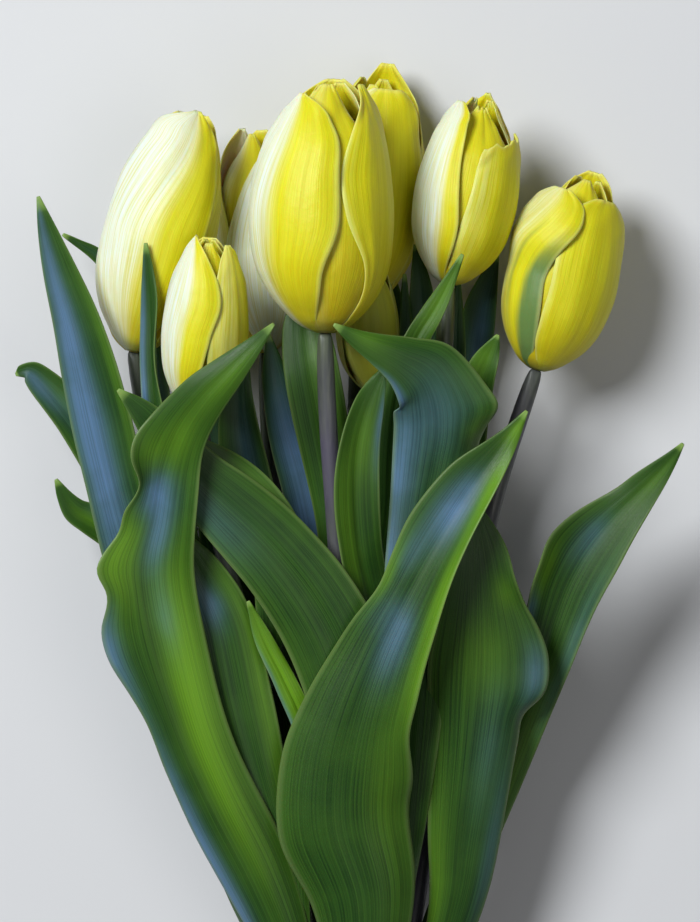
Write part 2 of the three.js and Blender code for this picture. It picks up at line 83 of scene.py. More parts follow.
def new_material(name, **constants):
    """A material with one Principled shader. The constants go on the shader's own sockets."""
    material = bpy.data.materials.new(name)
    material.use_nodes = True
    material.node_tree.nodes.clear()
    shader = node(material.node_tree, "ShaderNodeBsdfPrincipled", constants)
    node(material.node_tree, "ShaderNodeOutputMaterial", {"Surface": shader.outputs["BSDF"]})
    return material, material.node_tree, shader


def ramp(tree, fac, *stops):
    """A colour ramp through stops of (place, colour or grey)."""
    made = node(tree, "ShaderNodeValToRGB", {"Fac": fac})
    elements = made.color_ramp.elements
    while len(elements) < len(stops):
        elements.new(0.5)
    for element, (place, colour) in zip(elements, stops):
        element.position = place
        rgb = colour if isinstance(colour, tuple) else (colour, colour, colour)
        element.color = (*rgb, 1)
    return made.outputs["Color"]


def mix(tree, fac, low, high):
    """low where fac is 0 and high where it is 1."""
    made = node(tree, "ShaderNodeMix", data_type="RGBA", clamp_factor=True)
    for socket, value in ((0, fac), (6, low), (7, high)):
        if isinstance(value, bpy.types.NodeSocket):
            tree.links.new(value, made.inputs[socket])
        elif socket == 0:
            made.inputs[0].default_value = value
        else:
            made.inputs[socket].default_value = (*value, 1)
    return made.outputs[2]


def sums(tree, operation, first, second=0.0, third=0.0, clamp=False):
    terms = {0: first, 1: second, 2: third}
    made = node(tree, "ShaderNodeMath", terms, operation=operation, use_clamp=clamp)
    return made.outputs[0]


def cad_copy(name, cad_node):
    """A CAD node's mesh as a new object, its loose triangles merged to quads, left in edit mode."""
    piece = bpy.data.objects.new(name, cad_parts[cad_node].data.copy())
    bpy.context.collection.objects.link(piece)
    piece.data.materials.clear()
    bpy.ops.object.select_all(action="DESELECT")
    piece.select_set(True)
    bpy.context.view_layer.objects.active = piece
    bpy.ops.object.mode_set(mode="EDIT")
    bpy.ops.mesh.select_all(action="SELECT")
    bpy.ops.mesh.remove_doubles(threshold=1e-5)
    bpy.ops.mesh.tris_convert_to_quads(face_threshold=math.radians(60), shape_threshold=math.radians(120))
    return piece


def apply_modifier(piece, kind, **settings):
    modifier = piece.modifiers.new("shape", kind)
    for name, value in settings.items():
        setattr(modifier, name, value)
    bpy.ops.object.modifier_apply(modifier="shape")


def stem_material():
    material, tree, shader = new_material(
        "stem_skin", **{"Specular IOR Level": 0.45, "Coat Weight": 0.1, "Coat Roughness": 0.35}
    )
    place = node(tree, "ShaderNodeTexCoord").outputs["Object"]
    lengthwise = node(tree, "ShaderNodeMapping", {"Vector": place, "Scale": (900, 45, 900)}).outputs[0]
    streaks = node(tree, "ShaderNodeTexNoise", {"Vector": lengthwise, "Scale": 1, "Detail": 3})
    streaks = streaks.outputs["Fac"]
    flush = node(tree, "ShaderNodeTexNoise", {"Vector": place, "Scale": 22, "Detail": 2}).outputs["Fac"]
    streaked = ramp(tree, streaks, (0.35, 0.0), (0.7, 1.0))
    green = mix(tree, streaked, (0.034, 0.052, 0.020), (0.078, 0.100, 0.042))
    purple = mix(tree, ramp(tree, flush, (0.40, 0.0), (0.62, 0.65)), green, (0.085, 0.065, 0.125))
    tree.links.new(purple, shader.inputs["Base Color"])
    tree.links.new(ramp(tree, streaks, (0.2, 0.55), (0.8, 0.38)), shader.inputs["Roughness"])
    bump = node(tree, "ShaderNodeBump", {"Strength": 0.25, "Distance": 0.0004, "Height": streaks})
    tree.links.new(bump.outputs[0], shader.inputs["Normal"])
    return material


def pith_material():
    material, tree, shader = new_material(
        "stem_pith", **{"Subsurface Weight": 0.3, "Subsurface Scale": 0.002}
    )
    place = node(tree, "ShaderNodeTexCoord").outputs["Object"]
    cells = node(tree, "ShaderNodeTexVoronoi", {"Vector": place, "Scale": 1800}).outputs["Distance"]
    tree.links.new(
        ramp(tree, cells, (0.1, (0.60, 0.66, 0.38)), (0.7, (0.42, 0.50, 0.24))), shader.inputs["Base Color"]
    )
    tree.links.new(ramp(tree, cells, (0.0, 0.3), (0.8, 0.5)), shader.inputs["Roughness"])
    bump = node(tree, "ShaderNodeBump", {"Strength": 0.5, "Distance": 0.0003, "Height": cells})
    tree.links.new(bump.outputs[0], shader.inputs["Normal"])
    return material


stem_skin = stem_material()
stem_pith = pith_material()
stem_nodes = [f"tulip_{number}_stem" for number in range(1, 9)]

for cad_node in stem_nodes:
    stem = cad_copy(f"{cad_node}_skin", cad_node)
    stem.data.materials.append(stem_skin)
    stem.data.materials.append(stem_pith)
    low_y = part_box(cad_node)[0].y
    bpy.ops.mesh.select_all(action="DESELECT")
    bpy.ops.object.mode_set(mode="OBJECT")
    for face in stem.data.polygons:
        face.select = face.normal.y < -0.9 and face.center.y < low_y + 0.004
        face.material_index = int(face.select)
    bpy.ops.object.mode_set(mode="EDIT")
    bpy.ops.mesh.select_mode(type="FACE")
    bpy.ops.mesh.dissolve_faces()
    bpy.ops.mesh.inset(thickness=RIM_WIDTH, depth=0)
    bpy.ops.mesh.inset(thickness=PITH_INSET, depth=-PITH_DEPTH)
    bpy.ops.object.mode_set(mode="OBJECT")
    apply_modifier(stem, "SUBSURF", levels=2, render_levels=2)
    bpy.ops.object.shade_smooth()
    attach(stem, "root")
    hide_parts(cad_node)

# ---- Leaves ----
# Broad, fleshy blades, 0.8 mm thick, that clasp their stem at the base. Fine veins run from base to
# tip and the margins turn and wave. A blue-grey coat lies in patches over the deep green: partly waxy
# bloom, partly a painted sheen of cool light. The green is lime where a blade is thin or rolled, partly
# paler tissue and partly painted light shining through it, and the rims carry a painted edge highlight.
LEAF_RING = 8  # points round a CAD leaf
LEAF_THICKNESS = 0.0008
CHANNEL_DEPTH = 0.0006  # of the groove along the middle
PLEAT_HEIGHT = 0.00005
PLEATS = 11  # across a blade
SECTION = (-1, -0.5, 0, 0.5, 1)  # places across a blade in CAD, from its left rim to its right
MM = 0.001

# What sets each leaf apart. A height runs from 0 at the base to 1 at the tip, and a side from -1 at
# the left rim to 1 at the right. The margins are points of (height, mm outwards, mm up). The bloom with
# its painted sheen, and the lime with its painted light shining through, are patches of (height, side,
# half height, half width, strength).
LEAF_CHARACTER = {
    "leaf_front_left": dict(
        left=(
            (0.28, 0.5, 0), (0.33, -1, 0), (0.38, -2, 0), (0.405, 0, -1), (0.43, 2.6, -2.5),
            (0.455, 2, -2.5), (0.478, -2, 0.5), (0.49, -2, 1.5), (0.507, 1.2, 2), (0.523, 0, 1),
            (0.545, -2.8, 0), (0.57, -2, 0.5), (0.595, -4, 1.5), (0.615, -4.6, 2), (0.635, -2.6, 3.5),
            (0.655, 0.3, 4), (0.675, 1.2, 2.5), (0.71, 0, 0.5), (0.8, 0, 0),
        ),
        right=(
            (0.1, 0, 0), (0.25, 3, 0), (0.33, 1, 0), (0.5, -0.5, 1), (0.6, 0, 1.5), (0.67, -1.2, 0),
            (0.8, 0, 0),
        ),
        bloom=(
            (0.605, -0.15, 0.03, 0.45, 1.0), (0.55, 0.1, 0.04, 0.25, 0.6), (0.43, -0.95, 0.035, 0.2, 1.0),
            (0.26, -0.9, 0.09, 0.25, 0.9), (0.15, -0.9, 0.06, 0.3, 0.7), (0.46, 0.25, 0.03, 0.2, 0.25),
        ),
        lime=(
            (0.42, 0.5, 0.1, 0.45, 0.85), (0.3, 0.3, 0.1, 0.35, 0.6), (0.52, -0.65, 0.05, 0.4, 0.8),
            (0.69, 0.1, 0.06, 0.5, 0.45), (0.66, -0.5, 0.03, 0.3, 0.4), (0.85, 0.2, 0.1, 0.6, 0.45),
        ),
        wave=0.2,
    ),
    "leaf_front_centre": dict(
        left=(
            (0.4, 0.5, 0), (0.53, -1.5, 0), (0.59, -3, 0), (0.64, -1, 0), (0.7, 1.5, 0), (0.78, 2, 0),
            (0.88, 0, 0),
        ),
        right=(
            (0.25, 0, 0), (0.37, 0, 0), (0.42, -2, 1.5), (0.47, -1.2, 3), (0.56, 0, 3.5), (0.7, 0, 3),
            (0.82, 0.5, 1.5), (0.9, 0.5, 0),
        ),
        bloom=(
            (0.745, -0.1, 0.05, 0.45, 0.95), (0.66, -0.5, 0.04, 0.3, 0.3), (0.53, 0.15, 0.045, 0.3, 0.75),
            (0.56, -0.2, 0.03, 0.5, 0.25),
        ),
        lime=(
            (0.5, 0.95, 0.07, 0.22, 0.6), (0.63, 0.95, 0.09, 0.3, 0.8), (0.8, 0.75, 0.08, 0.4, 0.8),
            (0.94, 0.3, 0.05, 0.8, 0.8), (0.33, 0.6, 0.12, 0.3, 0.3), (0.62, -0.85, 0.05, 0.2, 0.5),
        ),
        wave=0.3,
    ),
    "leaf_curled_over": dict(
        left=((0.4, 0, 0), (0.55, 0.5, 1), (0.65, 0, 1.5), (0.75, -0.3, 1), (0.9, 0, 0)),
        right=(
            (0.48, 0, 0), (0.545, -0.5, -4), (0.585, 0.5, 0), (0.612, 2.6, 4), (0.64, 1, 3),
            (0.72, 0, 0),
        ),
        bloom=(
            (0.62, -0.1, 0.1, 0.6, 0.35), (0.5, -0.7, 0.12, 0.35, 0.55), (0.72, -0.95, 0.09, 0.15, 1.0),
            (0.4, -0.9, 0.15, 0.2, 0.7),
        ),
        lime=((0.57, 0.8, 0.03, 0.3, 0.5), (0.9, 0.3, 0.06, 0.8, 0.35)),
        wave=0.2,
    ),
    "leaf_broad_right": dict(
        right=(
            (0.33, 0, 0), (0.44, -2.5, -1), (0.5, -3, -2.5), (0.555, -3.4, -2), (0.59, -0.5, 2),
            (0.64, 0.3, 2.5), (0.7, -0.5, 1.5), (0.75, -2.2, 0.5), (0.8, -2.6, 1.5), (0.88, -0.5, 0),
        ),
        bloom=((0.62, 0.8, 0.05, 0.2, 0.5), (0.35, 0.75, 0.12, 0.25, 0.3), (0.5, 0.2, 0.1, 0.3, 0.15)),
        lime=((0.66, -0.1, 0.08, 0.5, 0.3), (0.78, 0.5, 0.04, 0.3, 0.35), (0.28, -0.7, 0.15, 0.3, 0.35)),
        wave=0.3,
    ),
    "leaf_far_right": dict(
        left=(
            (0.38, -1, 0), (0.46, -1, 0), (0.53, 1, 3), (0.58, 1.6, 4.5), (0.62, 2, 3.5), (0.67, 0.6, 1.5),
            (0.73, -1, 0), (0.82, 0, 0),
        ),
        bloom=((0.66, -0.2, 0.05, 0.3, 0.35), (0.45, 0.8, 0.15, 0.25, 0.3), (0.5, -0.9, 0.03, 0.2, 0.7)),
        lime=((0.57, -0.75, 0.05, 0.2, 0.5), (0.85, 0.2, 0.1, 0.5, 0.3), (0.3, 0.6, 0.15, 0.4, 0.4)),
        wave=0.2,
    ),
    "leaf_tall_left": dict(
        bloom=((0.78, -0.5, 0.2, 0.4, 0.8), (0.5, -0.4, 0.25, 0.5, 0.9)),
        lime=((0.72, 0.85, 0.12, 0.2, 0.25),),
    ),
    "leaf_hooked_left": dict(
        bloom=((0.8, -0.3, 0.1, 0.5, 0.7), (0.55, 0.3, 0.12, 0.5, 0.6)),
        lime=((0.7, 0.3, 0.1, 0.4, 0.3),),
    ),
    "leaf_low_left": dict(bloom=((0.6, 0.6, 0.15, 0.4, 0.5),), lime=((0.75, 0.1, 0.12, 0.5, 0.5),)),
    "leaf_narrow_left": dict(bloom=((0.7, -0.8, 0.2, 0.3, 0.9), (0.4, -0.8, 0.2, 0.3, 0.9))),
    "leaf_crossing": dict(bloom=((0.72, -0.5, 0.1, 0.5, 0.2),), wave=0.6),
    "leaf_crossing_under": dict(lime=((0.5, 0.4, 0.3, 0.5, 0.35),)),
    "leaf_left_inner_broad": dict(bloom=((0.72, -0.2, 0.06, 0.4, 0.7),), lime=((0.5, 0.7, 0.3, 0.3, 0.4),)),
    "leaf_bright_sliver": dict(lime=((0.6, 0, 0.5, 1.5, 1.0),), bloom=((0.5, -1, 0.3, 0.25, 0.6),)),
    "leaf_silvery": dict(bloom=((0.6, 0, 0.25, 0.7, 1.0), (0.3, 0, 0.25, 0.7, 0.8))),
    "leaf_inner_curved": dict(
        lime=((0.55, -0.5, 0.2, 0.4, 0.45), (0.75, 0.2, 0.1, 0.5, 0.4)),
        bloom=((0.8, 0.9, 0.1, 0.2, 0.6),),
    ),
    "leaf_spear": dict(lime=((0.85, 0, 0.15, 1, 0.6),)),
    "leaf_short_right": dict(lime=((0.8, -0.3, 0.2, 0.8, 0.5),)),
    "leaf_behind_stem": dict(lime=((0.7, 0.4, 0.3, 0.5, 0.35),)),
    "leaf_back_right": dict(bloom=((0.8, 0.2, 0.1, 0.5, 0.8), (0.6, 0.2, 0.1, 0.5, 0.5))),
    "leaf_inner_left": dict(bloom=((0.6, 0.2, 0.2, 0.4, 0.6),)),
}
BLADE_GRID = (97, 19)  # places along a blade and across it
PLAIN_LEAF = dict(bloom=((0.5, 0, 0.3, 0.6, 0.35),))


def smooth_between(x, knots, values):
    """A smooth curve through values at knots, flat outside them."""
    knots, values = np.array(knots, float), np.array(values, float)
    x = np.clip(x, knots[0], knots[-1])
    slopes = np.gradient(values, knots)
    i = np.clip(np.searchsorted(knots, x, side="right") - 1, 0, len(knots) - 2)
    width = knots[i + 1] - knots[i]
    t = (x - knots[i]) / width
    start = (1 + 2 * t) * (1 - t) ** 2 * values[i] + t * (1 - t) ** 2 * width * slopes[i]
    return start + t**2 * (3 - 2 * t) * values[i + 1] + t**2 * (t - 1) * width * slopes[i + 1]


def rise(x, low, high):
    """0 below low, 1 above high and smooth between. It falls where high is the smaller."""
    t = np.clip((x - low) / (high - low), 0, 1)
    return t * t * (3 - 2 * t)


def leaf_rows(cad_node):
    """A CAD leaf as rows from its base to its tip, each of five points from the left rim to the right.

    A ring's left rim joins three points of the next ring and its right rim joins one.
    """
    blade = bmesh.new()
    blade.from_mesh(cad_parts[cad_node].data)
    bmesh.ops.remove_doubles(blade, verts=blade.verts, dist=1e-6)
    flattened = blade.copy()
    bmesh.ops.dissolve_limit(
        flattened, angle_limit=math.radians(0.4), verts=flattened.verts, edges=flattened.edges
    )
    ends = [face for face in flattened.faces if len(face.verts) == LEAF_RING]
    base = min(ends, key=lambda face: face.calc_center_median().y)
    ring = [min(blade.verts, key=lambda v: (v.co - end.co).length) for end in reversed(base.verts)]
    flattened.free()
    half = LEAF_RING // 2
    rings, seen = [], set()
    while True:
        rings.append([v.co[:] for v in ring])
        seen.update(ring)
        above = [{edge.other_vert(v) for edge in v.link_edges} - seen for v in ring]
        if not all(above):
            break
        right = min(range(LEAF_RING), key=lambda i: len(above[i]))
        matched = {right: above[right].pop()}
        for way in (-1, 1):
            for step in range(1, half + (way > 0)):
                i = (right + way * step) % LEAF_RING
                matched[i] = (above[i] - set(matched.values())).pop()
        ring = [matched[i] for i in range(LEAF_RING)]
    blade.free()
    points = np.roll(np.array(rings), half - right, axis=1)
    return (points[:, : half + 1] + points[:, [0, 7, 6, 5, 4]]) / 2


def finer(rows, places, knots, axis):
    """The points of rows of a grid, at more places along one of its ways."""
    return np.apply_along_axis(lambda line: smooth_between(places, knots, line), axis, rows)


def grid_sheet(name, rows):
    """A sheet of quads through rows of points, with its UV map across in u and along in v."""
    along, across = len(rows) - 1, len(rows[0]) - 1
    bpy.ops.object.select_all(action="DESELECT")
    bpy.ops.mesh.primitive_grid_add(x_subdivisions=across, y_subdivisions=along, size=1)
    sheet = bpy.context.active_object
    sheet.name = name
    sheet.data.vertices.foreach_set("co", np.asarray(rows, np.float32).ravel())
    sheet.data.update()
    return sheet


def grid_directions(rows):
    """The unit vectors across and up from a grid of points, at each of them."""
    along, across = np.gradient(rows, axis=0), np.gradient(rows, axis=1)
    across /= np.linalg.norm(across, axis=2, keepdims=True) + 1e-12
    up = np.cross(across, along)
    return across, up / (np.linalg.norm(up, axis=2, keepdims=True) + 1e-12)


def set_mask(piece, name, values):
    """A named grey value at each vertex, for the material to read."""
    mask = piece.data.attributes.new(name, "FLOAT", "POINT")
    mask.data.foreach_set("value", np.asarray(values, np.float32).ravel())


def finish_sheet(piece, side, thickness, levels):
    """Rounds a thin sheet and gives it its thickness, less at its margins."""
    group = piece.vertex_groups.new(name="body")
    for index, weight in enumerate(np.clip(1.1 - np.abs(side) ** 6, 0.2, 1).ravel()):
        group.add([index], float(weight), "REPLACE")
    apply_modifier(piece, "SUBSURF", levels=levels, render_levels=levels)
    apply_modifier(
        piece, "SOLIDIFY", thickness=thickness, offset=0, vertex_group="body", thickness_vertex_group=0.15
    )
    bpy.ops.object.shade_smooth()


def patches_at(height, side, patches):
    """How strong soft-edged patches are at each point of a blade."""
    total = np.zeros(np.broadcast_shapes(height.shape, side.shape))
    for at, across, tall, wide, strength in patches:
        total += strength * np.exp(-(((height - at) / tall) ** 2) - ((side - across) / wide) ** 2)
    return total


def lengthwise_lines():
    """A node group: fine lines that run along a blade or a tepal, from its UV map."""
    group = bpy.data.node_groups.new("lengthwise_lines", "ShaderNodeTree")
    group.interface.new_socket("Lines across", in_out="INPUT", socket_type="NodeSocketFloat")
    group.interface.new_socket("Breaks along", in_out="INPUT", socket_type="NodeSocketFloat")
    group.interface.new_socket("Lines", in_out="OUTPUT", socket_type="NodeSocketFloat")
    group.interface.new_socket("Bands", in_out="OUTPUT", socket_type="NodeSocketFloat")
    given = node(group, "NodeGroupInput")
    uv = node(group, "ShaderNodeSeparateXYZ", {0: node(group, "ShaderNodeTexCoord").outputs["UV"]})
    breaks = sums(group, "MULTIPLY", uv.outputs[1], given.outputs["Breaks along"])

    def lines(count, detail):
        across = sums(group, "MULTIPLY", uv.outputs[0], count)
        place = node(group, "ShaderNodeCombineXYZ", {0: across, 1: breaks}).outputs[0]
        noise = node(group, "ShaderNodeTexNoise", {"Vector": place, "Scale": 1, "Detail": detail})
        return noise.outputs["Fac"]

    fine = lines(given.outputs["Lines across"], 2)
    broad = lines(sums(group, "MULTIPLY", given.outputs["Lines across"], 0.18), 1)
    node(group, "NodeGroupOutput", {"Lines": fine, "Bands": broad})
    return group


LINES = lengthwise_lines()


def leaf_material():
    material, tree, shader = new_material(
        "leaf_blade",
        **{
            "Specular IOR Level": 0.22,
            "Subsurface Weight": 0.06,
            "Subsurface Scale": 0.0012,
        },
    )
    place = node(tree, "ShaderNodeTexCoord").outputs["Object"]
    lines = node(tree, "ShaderNodeGroup", node_tree=LINES, inputs={"Lines across": 75, "Breaks along": 2.5})
    fine, bands = lines.outputs["Lines"], lines.outputs["Bands"]
    patches = node(tree, "ShaderNodeTexNoise", {"Vector": place, "Scale": 45, "Detail": 3}).outputs["Fac"]
    grain = node(tree, "ShaderNodeTexNoise", {"Vector": place, "Scale": 1500, "Detail": 2}).outputs["Fac"]
    bloom = node(tree, "ShaderNodeAttribute", attribute_name="bloom").outputs["Fac"]
    lime = node(tree, "ShaderNodeAttribute", attribute_name="lime").outputs["Fac"]
    rim = node(tree, "ShaderNodeAttribute", attribute_name="rim").outputs["Fac"]
    veined = ramp(tree, fine, (0.35, 0.0), (0.66, 1.0))
    green = mix(tree, veined, (0.008, 0.032, 0.005), (0.032, 0.094, 0.011))
    green = mix(tree, ramp(tree, bands, (0.35, 0.0), (0.7, 0.5)), green, (0.014, 0.052, 0.007))
    green = mix(tree, ramp(tree, patches, (0.45, 0.0), (0.75, 0.55)), green, (0.038, 0.104, 0.011))
    # Lime where a blade is thin or rolled: partly paler tissue, partly painted light shining through it.
    soft_lime_and_backlight = sums(tree, "MULTIPLY", lime, ramp(tree, fine, (0.25, 0.6), (0.6, 1.0)), clamp=True)
    green = mix(tree, soft_lime_and_backlight, green, (0.135, 0.300, 0.012))
    # A blue-grey coat in patches along the veins: partly waxy bloom, partly a painted sheen of cool light.
    bloom_and_sheen_cover = sums(tree, "MULTIPLY", bloom, ramp(tree, fine, (0.3, 0.62), (0.62, 1.0)))
    bloom_and_sheen_cover = sums(tree, "MULTIPLY", bloom_and_sheen_cover, ramp(tree, patches, (0.32, 0.55), (0.55, 1.0)), clamp=True)
    green = mix(tree, bloom_and_sheen_cover, green, (0.10, 0.19, 0.33))
    # A paler margin and tip, with a painted highlight along the edge.
    green = mix(tree, rim, green, (0.26, 0.36, 0.12))
    tree.links.new(green, shader.inputs["Base Color"])
    tree.links.new(ramp(tree, grain, (0.3, 0.34), (0.7, 0.46)), shader.inputs["Roughness"])
    height = sums(tree, "MULTIPLY_ADD", grain, 0.35, fine)
    bump = node(tree, "ShaderNodeBump", {"Strength": 0.22, "Distance": 0.0003, "Height": height})
    tree.links.new(bump.outputs[0], shader.inputs["Normal"])
    return material


leaf_blade = leaf_material()
random.seed(11)

for cad_node in sorted(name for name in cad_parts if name.startswith("leaf_")):
    character = LEAF_CHARACTER.get(cad_node, PLAIN_LEAF)
    rows = leaf_rows(cad_node)
    v, s = np.linspace(0, 1, BLADE_GRID[0]), np.linspace(-1, 1, BLADE_GRID[1])
    rows = finer(finer(rows, v, np.linspace(0, 1, len(rows)), 0), s, SECTION, 1)
    v, s = v[:, None], s[None, :]
    across, up = grid_directions(rows)
    shape = {
        side: np.array([(0, 0, 0), *character.get(side, ((0.5, 0, 0),)), (1, 0, 0)], float)
        for side in ("left", "right")
    }
    outwards, upwards = (
        np.where(
            s < 0,
            smooth_between(v, shape["left"][:, 0], shape["left"][:, column]),
            smooth_between(v, shape["right"][:, 0], shape["right"][:, column]),
        )
        for column in (1, 2)
    )
    middle = np.sin(np.pi * v) ** 0.5
    waves = character.get("wave", 0.6) * np.sin(2 * np.pi * 3 * v + random.uniform(0, 6) + 1.5 * np.sign(s))
    channel = -CHANNEL_DEPTH * np.exp(-((s / 0.16) ** 2)) * (1 - v**3) * middle
    pleats = PLEAT_HEIGHT * np.cos(np.pi * PLEATS * s) * (1 - np.abs(s) ** 4) * middle
    sideways = outwards * MM * np.sign(s) * np.abs(s) ** 1.6
    lift = (upwards * np.abs(s) ** 2 + waves * np.abs(s) ** 3 * middle) * MM + channel + pleats
    blade = grid_sheet(f"{cad_node}_blade", rows + across * sideways[..., None] + up * lift[..., None])
    blade.data.materials.append(leaf_blade)
    edge = rise(np.abs(s), 0.5, 1.0)
    tip = rise(v, 0.965, 0.995)
    # Where the blue-grey coat lies: waxy bloom with a painted sheen.
    set_mask(blade, "bloom", np.clip(patches_at(v, s, character.get("bloom", ())), 0, 1))
    # Where the blade is lime: paler thin tissue at the tip and rims, and painted light shining through.
    lime = patches_at(v, s, character.get("lime", ())) + 0.9 * tip + 0.10 * edge
    set_mask(blade, "lime", np.clip(lime, 0, 1))
    # The rim: a paler margin and tip, with a painted edge highlight.
    set_mask(blade, "rim", 0.35 * rise(np.abs(s), 0.94, 0.985) * middle + 0.6 * tip)
    finish_sheet(blade, np.broadcast_to(s, rows.shape[:2]), LEAF_THICKNESS, 1)
    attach(blade, "root")
    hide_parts(cad_node)

# ---- Flower heads ----
# Closed lemon-yellow heads, each of three outer tepals that overlap round three inner ones. A tepal is
# 0.7 mm thick and thinner at its margins, with fine lengthwise lines, cream streaks with a painted sheen
# on the side that faces the light, a deeper gold towards its foot that is partly painted shade, most on
# the inner tepals, and a tip that is crinkled or torn.
TEPAL_THICKNESS = 0.0007
TEPAL_GRID = (49, 23)  # places along a tepal and across it
USUAL_REACH = 0.018  # a full-sized head's widest radius
STEM_OVERLAP = 0.0008  # how far the tepals' feet reach down over the stem's end
INNER_INSET = 0.0012  # from the outer tepals in to the inner ones
INNER_CLOSING = 0.35  # how far the inner tips close in over the heart, as a share of their radius
OVERLAP_STEP = 0.0005  # how far one margin stands out past the other
FLUTE_HEIGHT = 0.00018
RIB_DEPTH = 0.0004  # of the groove along a tepal's middle
CRINKLE_HEIGHT = 0.0003
WAVE_HEIGHT = 0.0003
DENT_DEPTH = 0.0014
HEAD_PROFILE = (
    (0.0, 0.13), (0.02, 0.32), (0.06, 0.52), (0.12, 0.71), (0.2, 0.87),
    (0.38, 1.0), (0.6, 0.96), (0.8, 0.78), (0.92, 0.58), (1.0, 0.4),
)
EDGE_HEIGHTS = (0, 0.08, 0.25, 0.45, 0.66, 0.86, 0.95, 1)
OUTER_EDGE = (40, 50, 62, 65, 59, 43, 27, 5)  # half angles round the head at those heights
BLUNT_EDGE = (40, 50, 62, 65, 62, 55, 44, 20)
INNER_EDGE = (30, 42, 54, 57, 56, 50, 40, 18)
